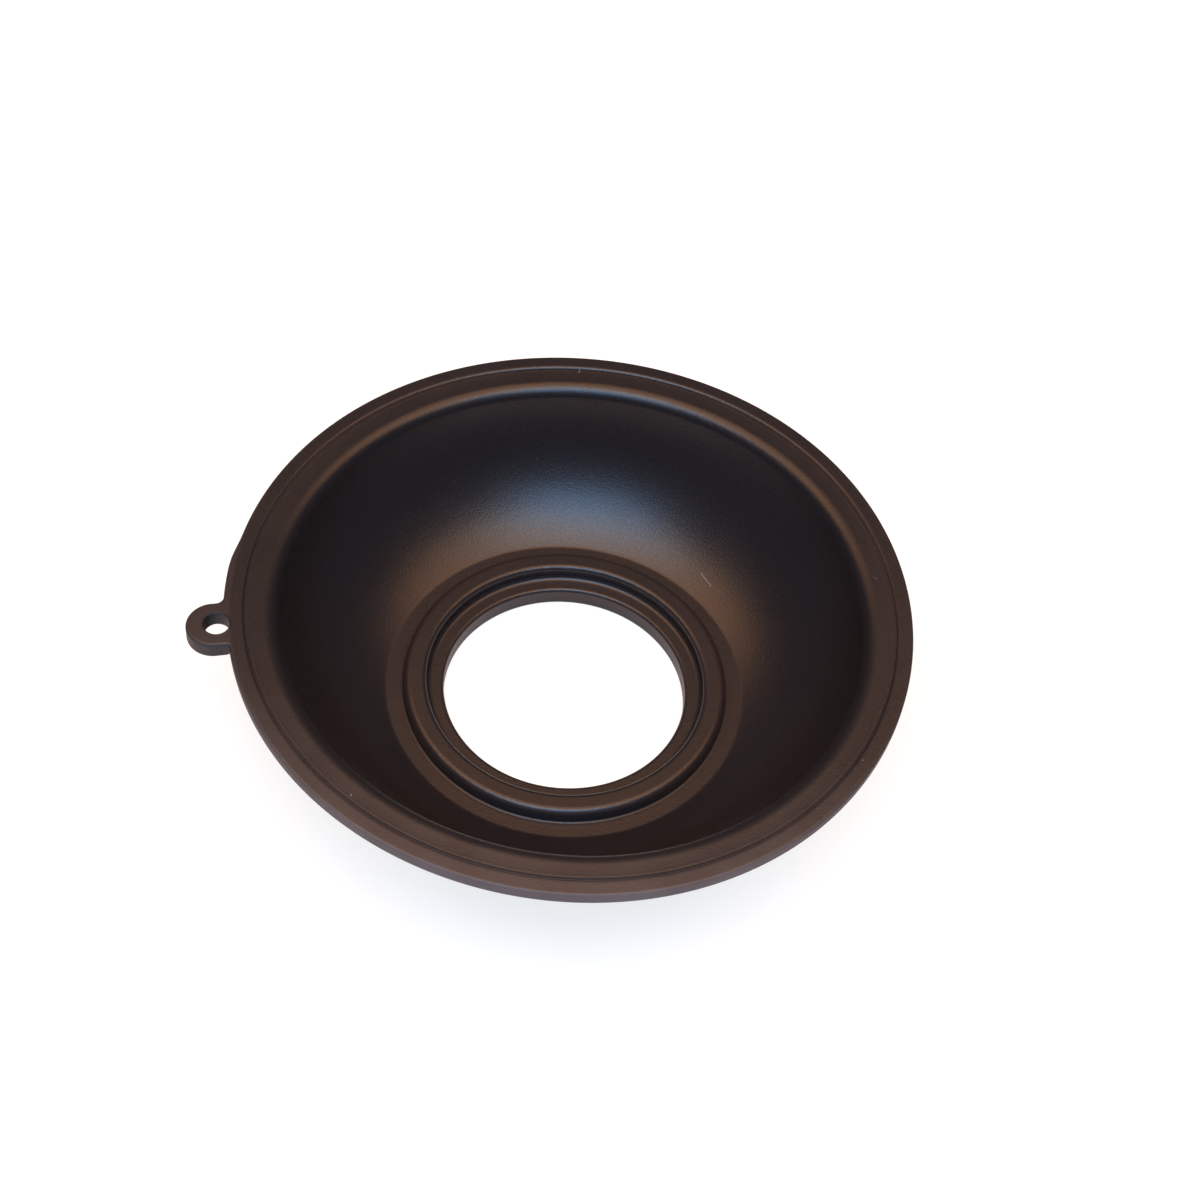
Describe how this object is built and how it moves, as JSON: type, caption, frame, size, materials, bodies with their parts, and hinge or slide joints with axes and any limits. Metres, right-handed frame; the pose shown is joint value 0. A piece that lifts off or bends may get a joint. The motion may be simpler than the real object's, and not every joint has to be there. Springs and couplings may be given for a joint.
{
  "type": "carburettor diaphragm",
  "caption": "Moulded black rubber diaphragm: a flat clamping rim with a locating ear, a deep curved bowl and a flat hub ring with a raised bead round a central hole.",
  "frame": {"origin": "on the turning axis, in the plane of the hub's underside", "axes": "+Z along the turning axis, from the hub up to the rim; the ear lies on -X"},
  "size_m": [0.0846, 0.08, 0.0196],
  "materials": {
    "rubber": "semi-gloss moulded black"
  },
  "bodies": {
    "root": {"diaphragm": "rubber"}
  },
  "joints": []
}
